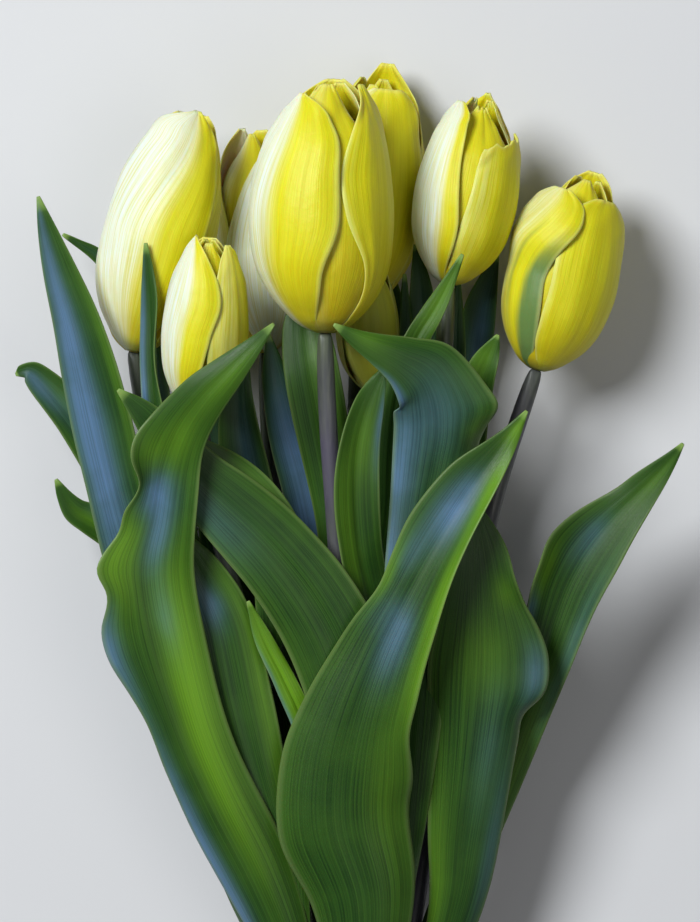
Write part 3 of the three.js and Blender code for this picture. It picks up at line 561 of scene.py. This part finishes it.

# Every tepal's place: the angle round the head in degrees, 0 facing up from the table and 90 to the
# right, and its tip's height over the head's. Then what sets it apart: how far its tip leans round,
# its margins, the slope and the raggedness of its tip, the side and the strength of its cream streaks
# with their painted sheen, from full to none across it, its green flame, whether its margins lie over
# their neighbours, how far its upper half stands out over them, a dent below its tip, and how dull and
# green it is all over, partly its own colour and partly painted shade.
HEADS = {
    "tulip_1": (
        dict(
            turn=-18, top=1.0, lean=42,
            left=(40, 52, 66, 74, 84, 92, 80, 10), right=(40, 50, 64, 70, 64, 44, 28, 6),
            over=(1, 1), cream=(-0.5, 0.5, 0.9),
        ),
        dict(turn=100, top=0.99, lean=45, left=BLUNT_EDGE, over=(-1, 0), cream=(-1.0, -0.6, 0.1)),
        dict(
            turn=-140, top=0.985, lean=-22, left=BLUNT_EDGE, right=BLUNT_EDGE, over=(0, -1),
            cream=(0.0, 1.4, 0.6),
        ),
        dict(turn=40, top=0.95),
        dict(turn=160, top=0.95),
        dict(turn=-80, top=0.94),
    ),
    "tulip_2": (
        dict(turn=22, top=0.90, lean=10, right=BLUNT_EDGE, over=(1, 1), cream=(0.1, 0.9, 1.2)),
        dict(turn=140, top=0.99, lean=20, left=BLUNT_EDGE, right=BLUNT_EDGE, cream=(-1.0, 0.0, 0.2)),
        dict(turn=-100, top=1.0, lean=-40, right=BLUNT_EDGE, cream=(0.3, 1.3, 0.8)),
        dict(turn=80, top=0.93),
        dict(turn=-160, top=0.97),
        dict(turn=-38, top=0.97, lean=15, cream=(-1.0, 0.2, 0.6)),
    ),
    "tulip_3": (
        dict(turn=-60, top=1.0, lean=12, right=(40, 50, 60, 70, 79, 56, 32, 8), cream=(0.15, 0.6, 1.0)),
        dict(turn=60, top=0.955, left=(36, 44, 50, 54, 48, 38, 24, 6), cream=(-0.5, 0.5, 0.2)),
        dict(turn=180, top=0.97, left=BLUNT_EDGE, right=BLUNT_EDGE, cream=(-1.0, 0.0, 0.3)),
        dict(turn=0, top=0.96, cream=(-1.0, 0.3, 0.2)),
        dict(turn=120, top=0.97, lean=30),
        dict(turn=-120, top=0.97, lean=-30),
    ),
    "tulip_4": (
        dict(turn=-60, top=0.93, lean=18, right=(40, 52, 62, 76, 69, 54, 34, 7), cream=(-0.2, 0.4, 0.9)),
        dict(
            turn=60, top=0.972, lean=4, left=(16, 10, 17, 37, 43, 27, 14, 5), dent=0.4,
            cream=(-1.0, -0.7, 0.15),
        ),
        dict(turn=180, top=0.995, lean=-6, left=BLUNT_EDGE, right=BLUNT_EDGE, cream=(-1.0, 0.0, 0.2)),
        dict(turn=0, top=0.97, lean=-14, left=BLUNT_EDGE, right=BLUNT_EDGE, cream=(-0.2, 0.4, 0.15)),
        dict(turn=114, top=0.98, lean=34, left=BLUNT_EDGE, right=BLUNT_EDGE, cream=(-1.0, -0.6, 0.4)),
        dict(turn=-114, top=0.97, lean=-40, left=BLUNT_EDGE, right=BLUNT_EDGE, cream=(0.4, 1.2, 0.3)),
    ),
    "tulip_5": (
        dict(
            turn=4, top=0.905, left=BLUNT_EDGE, right=(40, 50, 60, 63, 60, 55, 50, 34), over=(1, 1),
            cream=(-1.0, -0.2, 0.4),
        ),
        dict(
            turn=120, top=1.02, lean=52, left=BLUNT_EDGE, right=BLUNT_EDGE, over=(-1, 0),
            cream=(-1.0, 0.0, 0.1),
        ),
        dict(turn=-120, top=0.95, lean=-10, right=BLUNT_EDGE, over=(0, -1), cream=(-1.0, 0.0, 0.3)),
        dict(turn=60, top=0.91, lean=20, cream=(-1.0, -0.2, 0.2)),
        dict(turn=180, top=0.95),
        dict(turn=-60, top=0.92, lean=20, cream=(-1.0, 0.0, 0.4)),
    ),
    "tulip_6": (
        dict(
            turn=-60, top=0.93, lean=8, left=BLUNT_EDGE, right=(40, 50, 58, 54, 45, 38, 32, 14),
            cream=(0.35, 0.8, 1.3),
        ),
        dict(
            turn=60, top=0.765, left=(70, 68, 64, 58, 54, 52, 50, 46),
            right=(40, 52, 62, 64, 62, 60, 56, 50), slope=0.07, ragged=0.011, cream=(-1.0, -0.3, 0.2),
        ),
        dict(turn=180, top=1.0, lean=-10, cream=(-1.0, -0.3, 0.3)),
        dict(turn=0, top=0.91, left=BLUNT_EDGE, right=BLUNT_EDGE, ragged=0.01, cream=(-1.0, -0.3, 0.2)),
        dict(turn=112, top=0.95, lean=30, left=BLUNT_EDGE, ragged=0.012, cream=(-1.0, -0.5, 0.3)),
        dict(turn=-112, top=0.95, lean=-20, right=BLUNT_EDGE, ragged=0.012, cream=(0.2, 1.4, 0.3)),
    ),
    "tulip_7": (
        dict(
            turn=-80, top=0.88, lean=50, left=BLUNT_EDGE, right=(56, 64, 66, 62, 56, 44, 30, 8),
            tip_out=0.0024, over=(-1, -1), cream=(-0.2, 0.5, 0.35), green=1.0,
        ),
        dict(
            turn=40, top=0.875, left=(44, 52, 52, 50, 52, 48, 40, 22), right=BLUNT_EDGE, over=(1, 1),
            cream=(-1.0, -0.8, 0.15),
        ),
        dict(turn=160, top=1.0, lean=6, left=BLUNT_EDGE, right=BLUNT_EDGE, over=(-1, 0)),
        dict(turn=-20, top=0.95, lean=16, left=BLUNT_EDGE, cream=(-1.0, 0.0, 0.2)),
        dict(turn=100, top=0.96, lean=20, right=BLUNT_EDGE),
        dict(turn=-140, top=0.96, lean=10, left=BLUNT_EDGE),
    ),
    "tulip_8": (
        dict(turn=0, top=0.97, dull_and_shade=0.5),
        dict(turn=120, top=1.0, lean=30, dull_and_shade=0.5),
        dict(turn=-120, top=0.98, lean=-30, dull_and_shade=0.5),
        dict(turn=60, top=0.93, dull_and_shade=0.5),
        dict(turn=180, top=0.93, dull_and_shade=0.5),
        dict(turn=-60, top=0.93, dull_and_shade=0.5),
    ),
}
HEAD_BOWS = {"tulip_4": -0.0022}  # how far a head's middle bows out sideways


def head_frame(cad_node):
    """A whorl's foot, its side, axis and front directions, its length and its widest radius."""
    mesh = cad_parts[cad_node].data
    points = np.unique(np.round([v.co[:] for v in mesh.vertices], 6), axis=0)
    middle = points.mean(axis=0)
    axis = np.linalg.svd(points - middle)[2][0]
    axis = axis * np.sign(axis[1])
    heights = (points - middle) @ axis
    front = np.array([0, 0, 1.0]) - axis[2] * axis
    front /= np.linalg.norm(front)
    reach = np.linalg.norm(points - middle - heights[:, None] * axis, axis=1).max()
    foot = middle + heights.min() * axis
    return foot, np.cross(axis, front), axis, front, np.ptp(heights), reach


def tepal_rows(head, bow, spec, inner, v, s):
    """One tepal's middle surface, with its margins wrapped round the head."""
    foot, side, axis, front, length, reach = head
    edge = INNER_EDGE if inner else OUTER_EDGE
    left = smooth_between(v, EDGE_HEIGHTS, spec.get("left", edge))
    right = smooth_between(v, EDGE_HEIGHTS, spec.get("right", edge))
    turn = spec["turn"] + spec.get("lean", 0) * rise(v, 0.45, 1)
    angle = np.radians(turn + s * np.where(s < 0, left, right))
    torn = np.sin(9.1 * s + 1.3) + 0.7 * np.sin(17.3 * s) + 0.6 * np.sin(31 * s + 2)
    top = spec["top"] * (1 + spec.get("slope", 0) * s) + spec.get("ragged", 0) * torn
    height = v * (top * rise(v, 0.5, 1) + spec["top"] * (1 - rise(v, 0.5, 1)))
    radius = reach * smooth_between(height, *zip(*HEAD_PROFILE))
    over = spec.get("over", (-1, 1))
    step = OVERLAP_STEP * np.abs(s) * np.where(s < 0, over[0], over[1])
    step = step + spec.get("tip_out", 0) * rise(v, 0.5, 0.72)
    radius = radius * (1 - (INNER_CLOSING if inner else 0) * rise(v, 0.72, 1))
    radius = np.maximum(radius + (-INNER_INSET if inner else step) * rise(v, 0, 0.15), 0.0012)
    along = height * length - STEM_OVERLAP * (1 - rise(v, 0, 0.08))
    foot = foot + side * (bow * np.sin(np.pi * height))[..., None]
    return (
        foot + axis * along[..., None] + side * (radius * np.sin(angle))[..., None]
        + front * (radius * np.cos(angle))[..., None]
    )


def tepal_material():
    material, tree, shader = new_material(
        "tepal",
        **{
            "Specular IOR Level": 0.24,
            "Subsurface Weight": 0.22,
            "Subsurface Scale": 0.0025,
        },
    )
    lines = node(tree, "ShaderNodeGroup", node_tree=LINES, inputs={"Lines across": 95, "Breaks along": 2.2})
    fine, bands = lines.outputs["Lines"], lines.outputs["Bands"]
    place = node(tree, "ShaderNodeTexCoord").outputs["Object"]
    patches = node(tree, "ShaderNodeTexNoise", {"Vector": place, "Scale": 60, "Detail": 3}).outputs["Fac"]
    masks = {
        name: node(tree, "ShaderNodeAttribute", attribute_name=name).outputs["Fac"]
        for name in ("cream", "gold_and_shade", "green", "rim")
    }
    yellow = mix(tree, ramp(tree, fine, (0.3, 0.0), (0.7, 1.0)), (0.56, 0.50, 0.004), (0.70, 0.65, 0.010))
    yellow = mix(tree, ramp(tree, bands, (0.4, 0.0), (0.7, 0.4)), yellow, (0.74, 0.71, 0.030))
    # Deeper gold towards the foot: partly the tepal's own colour, partly painted shade deep in the head.
    gold_and_shade = sums(tree, "MULTIPLY", masks["gold_and_shade"], ramp(tree, patches, (0.3, 0.6), (0.7, 1.0)))
    yellow = mix(tree, gold_and_shade, yellow, (0.52, 0.39, 0.008))
    # Cream streaks, partly the tepal's own and partly a painted sheen of cool light where it faces the
    # light.
    streaks = sums(tree, "ADD", ramp(tree, bands, (0.34, -0.6), (0.60, 0.3)), masks["cream"], clamp=True)
    streaks = sums(tree, "MULTIPLY", streaks, ramp(tree, masks["cream"], (0.0, 0.0), (0.4, 1.0)))
    streaks = sums(tree, "MULTIPLY", streaks, ramp(tree, fine, (0.36, 0.45), (0.58, 1.0)))
    colour = mix(tree, streaks, yellow, (0.72, 0.76, 0.68))
    # Green: the flame and the green foot, and over a dull bud an olive that is partly painted shade.
    colour = mix(tree, masks["green"], colour, (0.13, 0.22, 0.06))
    colour = mix(tree, masks["rim"], colour, (0.80, 0.78, 0.30))
    tree.links.new(colour, shader.inputs["Base Color"])
    tree.links.new(ramp(tree, fine, (0.3, 0.5), (0.7, 0.38)), shader.inputs["Roughness"])
    puckers = node(tree, "ShaderNodeTexNoise", {"Vector": place, "Scale": 210, "Detail": 3}).outputs["Fac"]
    height = sums(tree, "MULTIPLY_ADD", puckers, 2.2, fine)
    bump = node(tree, "ShaderNodeBump", {"Strength": 0.35, "Distance": 0.0003, "Height": height})
    tree.links.new(bump.outputs[0], shader.inputs["Normal"])
    return material


tepal_skin = tepal_material()
random.seed(5)

for tulip, tepals in HEADS.items():
    head = head_frame(f"{tulip}_outer_tepals")
    size = head[5] / USUAL_REACH
    for index, spec in enumerate(tepals):
        inner = index > 2
        v = np.linspace(0, 1, TEPAL_GRID[0])[:, None]
        s = np.linspace(-1, 1, TEPAL_GRID[1])[None, :]
        rows = tepal_rows(head, HEAD_BOWS.get(tulip, 0), spec, inner, v, s)
        outward = grid_directions(rows)[1]
        phase = random.uniform(0, 2 * math.pi)
        flutes = FLUTE_HEIGHT * np.cos(2 * np.pi * 2.2 * s + phase) * rise(v, 0.1, 0.4) * (1 - 0.5 * v)
        rib = -RIB_DEPTH * np.exp(-((s / 0.1) ** 2)) * rise(v, 0.05, 0.3) * (1 - rise(v, 0.75, 0.95))
        crinkle = np.sin(21 * v + 4 * s + phase) + 0.8 * np.sin(37 * v - 7 * s + 2 * phase)
        crinkle = crinkle * CRINKLE_HEIGHT * rise(v, 0.65, 0.95) * (0.2 + np.abs(s) ** 2)
        waves = WAVE_HEIGHT * np.sin(2 * np.pi * 2.6 * v + phase + s) * np.abs(s) ** 3 * rise(v, 0.15, 0.4)
        dent = -DENT_DEPTH * spec.get("dent", 0) * np.exp(-(((v - 0.62) / 0.06) ** 2)) * rise(-s, 0.0, 0.7)
        lift = size * (flutes + rib + crinkle + waves + dent)
        tepal = grid_sheet(f"{tulip}_tepal_{index + 1}", rows + outward * lift[..., None])
        tepal.data.materials.append(tepal_skin)
        # Cream from full to none across the tepal: partly its own streaks, partly a painted sheen on its lit
        # side.
        full, none, strength = spec.get("cream", (-1.0, 0.0, 0.15))
        set_mask(tepal, "cream", strength * (1 - rise(s, full, none)) * (0.6 + 0.4 * rise(v, 0.1, 0.5)))
        # Painted shade in deeper gold, strongest at the foot and on the inner tepals, partly their own
        # colour.
        depth = (0.85 if inner else 0.55) * (1 - rise(v, 0.0, 0.5)) + (0.2 if inner else 0)
        set_mask(tepal, "gold_and_shade", depth * np.ones(s.shape))
        flame = rise(s, 0.40 + 0.30 * v, 0.55 + 0.35 * v) * (1 - rise(v, 0.5, 0.85))
        vein = np.exp(-(((s - 0.22 - 0.1 * v) / 0.035) ** 2)) * rise(v, 0.1, 0.2) * (1 - rise(v, 0.7, 0.85))
        # The foot is green; a dull bud is also olive all over, for its greener colour and as painted shade.
        at_foot = 0.4 * (1 - rise(v, 0.0, 0.07)) + spec.get("dull_and_shade", 0)
        set_mask(tepal, "green", np.clip(spec.get("green", 0) * (flame + 0.5 * vein) + at_foot, 0, 1))
        set_mask(tepal, "rim", 0.4 * np.clip(rise(np.abs(s), 0.95, 0.985) + rise(v, 0.975, 0.995), 0, 1))
        finish_sheet(tepal, np.broadcast_to(s, rows.shape[:2]), TEPAL_THICKNESS, 1)
        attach(tepal, "root")
        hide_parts(f"{tulip}_inner_tepals" if inner else f"{tulip}_outer_tepals")

# ---- Flower hearts ----
# A pale green three-sided ovary with a three-lobed stigma, and six stamens with dark anthers round it.
STAMENS = 6
FILAMENT_RADIUS = 0.0005
ANTHER_RADIUS = 0.0009
STAMEN = ((0.075, 0.19), (0.20, 0.27), (0.33, 0.30))  # up the head and out, over its length and radius


def heart_material(name, low, high, roughness):
    material, tree, shader = new_material(name, **{"Subsurface Weight": 0.15, "Subsurface Scale": 0.002})
    place = node(tree, "ShaderNodeTexCoord").outputs["Object"]
    grain = node(tree, "ShaderNodeTexNoise", {"Vector": place, "Scale": 900, "Detail": 3}).outputs["Fac"]
    colour = mix(tree, ramp(tree, grain, (0.35, 0.0), (0.65, 1.0)), low, high)
    tree.links.new(colour, shader.inputs["Base Color"])
    tree.links.new(ramp(tree, grain, (0.3, roughness), (0.7, roughness - 0.15)), shader.inputs["Roughness"])
    bump = node(tree, "ShaderNodeBump", {"Strength": 0.4, "Distance": 0.0002, "Height": grain})
    tree.links.new(bump.outputs[0], shader.inputs["Normal"])
    return material


pistil_skin = heart_material("pistil", (0.38, 0.46, 0.10), (0.55, 0.60, 0.22), 0.55)
pollen = heart_material("anther", (0.030, 0.020, 0.030), (0.10, 0.07, 0.06), 0.9)

for tulip in HEADS:
    pistil = cad_copy(f"{tulip}_pistil_skin", f"{tulip}_pistil")
    bpy.ops.object.mode_set(mode="OBJECT")
    pistil.data.materials.append(pistil_skin)
    apply_modifier(pistil, "SUBSURF", levels=2, render_levels=2)
    bpy.ops.object.shade_smooth()
    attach(pistil, "root")
    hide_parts(f"{tulip}_pistil")
    foot, side, axis, front, length, reach = head_frame(f"{tulip}_outer_tepals")
    for index in range(STAMENS):
        angle = 2 * math.pi * index / STAMENS
        outward = side * math.sin(angle) + front * math.cos(angle)
        low, high, end = (
            Vector(foot + axis * along * length + outward * out * reach) for along, out in STAMEN
        )
        for start, stop, radius, skin in (
            (low, high, FILAMENT_RADIUS, pistil_skin),
            (high, end, ANTHER_RADIUS, pollen),
        ):
            span = stop - start
            bpy.ops.object.select_all(action="DESELECT")
            bpy.ops.mesh.primitive_uv_sphere_add(
                segments=10, ring_count=10, radius=1, location=(start + stop) / 2,
                rotation=span.to_track_quat("Z", "Y").to_euler(),
                scale=(radius, radius, span.length * 0.52),
            )
            stamen = bpy.context.active_object
            stamen.name = f"{tulip}_stamen_{index + 1}_{skin.name}"
            bpy.ops.object.transform_apply(location=True, rotation=True, scale=True)
            stamen.data.materials.append(skin)
            bpy.ops.object.shade_smooth()
            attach(stamen, "root")

# ---- Rubber band ----
# A flat tan rubber band, 5 mm wide and 1.1 mm thick. It is pulled straight from one stem to the next
# and follows each stem's round side, and its rims are a little rounded.
BAND_THICKNESS = 0.0011
BAND_CLEARANCE = 0.0003
ARC_POINTS = 7  # where the band goes round one stem
BAND_ROWS = 6  # of points across its width

low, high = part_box("rubber_band")
band_middle = (low + high) / 2
touching = []
for cad_node in stem_nodes:
    points = np.array([v.co[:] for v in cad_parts[cad_node].data.vertices])
    cut_end = points[points[:, 1] < points[:, 1].min() + 1e-4]
    cut, stem_radius = cut_end.mean(axis=0), np.ptp(cut_end[:, 0]) / 2
    across = Vector((cut[0] - band_middle.x, cut[2] - band_middle.z))
    if across.length > stem_radius:
        touching.append((math.atan2(across.y, across.x), cut))
touching.sort(key=lambda found: found[0])
path = []
reach = stem_radius + BAND_CLEARANCE
for angle, cut in touching:
    for step in range(ARC_POINTS):
        turn = angle + (step / (ARC_POINTS - 1) - 0.5) * 2 * math.pi / len(touching)
        path.append((cut[0] + reach * math.cos(turn), cut[2] + reach * math.sin(turn)))
path.append(path[0])
rows = [[(x, y, z) for x, z in path] for y in np.linspace(low.y, high.y, BAND_ROWS)]
band = grid_sheet("band", rows)
bpy.ops.object.mode_set(mode="EDIT")
bpy.ops.mesh.select_all(action="SELECT")
bpy.ops.mesh.remove_doubles(threshold=1e-6)
bpy.ops.mesh.normals_make_consistent(inside=False)
bpy.ops.object.mode_set(mode="OBJECT")
apply_modifier(band, "SOLIDIFY", thickness=BAND_THICKNESS, offset=1)
apply_modifier(band, "SUBSURF", levels=2, render_levels=2)
bpy.ops.object.shade_smooth()


def rubber_material():
    material, tree, shader = new_material("rubber", **{"Specular IOR Level": 0.35, "Subsurface Weight": 0.1})
    place = node(tree, "ShaderNodeTexCoord").outputs["Object"]
    grain = node(tree, "ShaderNodeTexNoise", {"Vector": place, "Scale": 1400, "Detail": 3}).outputs["Fac"]
    dust = node(tree, "ShaderNodeTexNoise", {"Vector": place, "Scale": 160, "Detail": 2}).outputs["Fac"]
    tan = mix(tree, ramp(tree, grain, (0.35, 0.0), (0.65, 1.0)), (0.43, 0.27, 0.11), (0.55, 0.37, 0.17))
    tan = mix(tree, ramp(tree, dust, (0.5, 0.0), (0.75, 0.5)), tan, (0.66, 0.55, 0.38))
    tree.links.new(tan, shader.inputs["Base Color"])
    tree.links.new(ramp(tree, dust, (0.3, 0.55), (0.7, 0.8)), shader.inputs["Roughness"])
    bump = node(tree, "ShaderNodeBump", {"Strength": 0.3, "Distance": 0.0002, "Height": grain})
    tree.links.new(bump.outputs[0], shader.inputs["Normal"])
    return material


band.data.materials.append(rubber_material())
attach(band, "root")
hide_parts("rubber_band")

# ---- Floor, light and camera ----
# A plain pale table under the bunch, soft daylight from the upper left, and a camera straight above.
TABLE_GAP = 0.0005  # keeps the table clear of the lowest piece
bpy.ops.object.select_all(action="DESELECT")
bpy.ops.mesh.primitive_plane_add(size=6, location=(0, 0, cad_box[0].z - TABLE_GAP))
table = bpy.context.active_object
table.name = "table"
paint, tree, shader = new_material("pale_table", Roughness=0.9)
shader.inputs["Base Color"].default_value = (0.62, 0.62, 0.63, 1)
table.data.materials.append(paint)

world = bpy.data.worlds.new("room")
bpy.context.scene.world = world
world.use_nodes = True
world.node_tree.nodes["Background"].inputs["Color"].default_value = (0.90, 0.94, 1.0, 1)
world.node_tree.nodes["Background"].inputs["Strength"].default_value = 0.13


def soft_light(name, place, target, size, watts, colour):
    lamp = bpy.data.lights.new(name, "AREA")
    lamp.shape = "DISK"
    lamp.size = size
    lamp.energy = watts
    lamp.color = colour
    holder = bpy.data.objects.new(name, lamp)
    bpy.context.collection.objects.link(holder)
    holder.location = place
    holder.rotation_euler = (Vector(target) - Vector(place)).to_track_quat("-Z", "Y").to_euler()


soft_light("window", (-0.8, 0.7, 1.45), (0, 0.05, 0), 0.8, 36, (0.95, 0.98, 1.0))
soft_light("room_fill", (0.7, -0.2, 1.8), (0, 0, 0), 1.2, 5, (1.0, 0.98, 0.95))

PICTURE_HEIGHT = 0.2582  # of what the camera sees at the bunch's middle height
HEADS_TO_MIDDLE = 0.1125  # from the highest head's tip down to the picture's middle
CAMERA_HEIGHT = 2.0

eye = bpy.data.cameras.new("camera")
eye.sensor_width = 36
eye.lens = eye.sensor_width * CAMERA_HEIGHT / PICTURE_HEIGHT
camera = bpy.data.objects.new("camera", eye)
bpy.context.collection.objects.link(camera)
camera.location = (0.0004, cad_box[1].y - HEADS_TO_MIDDLE, cad_box[1].z * 0.6 + CAMERA_HEIGHT)
bpy.context.scene.camera = camera
bpy.context.scene.view_settings.view_transform = "Standard"
